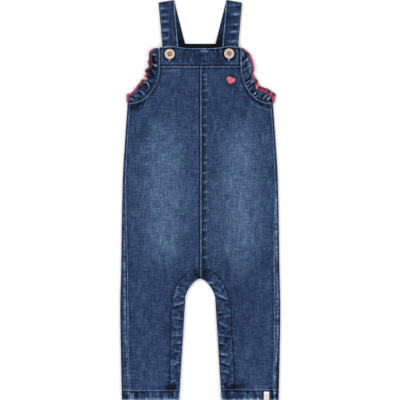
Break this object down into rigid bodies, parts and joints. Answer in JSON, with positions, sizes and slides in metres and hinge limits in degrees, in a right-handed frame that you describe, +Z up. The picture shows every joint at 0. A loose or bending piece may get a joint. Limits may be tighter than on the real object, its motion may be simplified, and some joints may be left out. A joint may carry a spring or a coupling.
{
  "type": "kids dungarees",
  "caption": "Baby's denim dungarees laid flat, with shoulder straps buttoned to a bib band, frilled armholes, a small heart on the bib, and puckered facings along the inside legs.",
  "frame": {"origin": "bottom centre of the bounding box, on the table under the middle of the garment", "axes": "+X to the garment's left side as worn, which is the right of a picture of its front; +Y from the hems to the straps; +Z up from the table, out of the front"},
  "size_m": [0.2398, 0.6, 0.011],
  "materials": {
    "denim": "washed mid-blue denim, faded on the bib and thighs",
    "denim_back": "washed mid-blue denim, darker on its inner side",
    "frill_cloth": "light denim with a coral overlocked edge",
    "button_wood": "pale turned wood with a tan dish",
    "coral_stitching": "coral satin stitching",
    "woven_tape": "off-white woven tape, blank"
  },
  "bodies": {
    "root": {"front_left": "denim", "front_right": "denim", "back_left": "denim_back", "back_right": "denim_back", "leg_facing_left": "denim", "leg_facing_right": "denim", "bib_band": "denim", "strap_left": "denim", "strap_right": "denim", "frill_left": "frill_cloth", "frill_right": "frill_cloth", "button_left": "button_wood", "button_right": "button_wood", "heart": "coral_stitching", "hem_label": "woven_tape"}
  },
  "joints": []
}
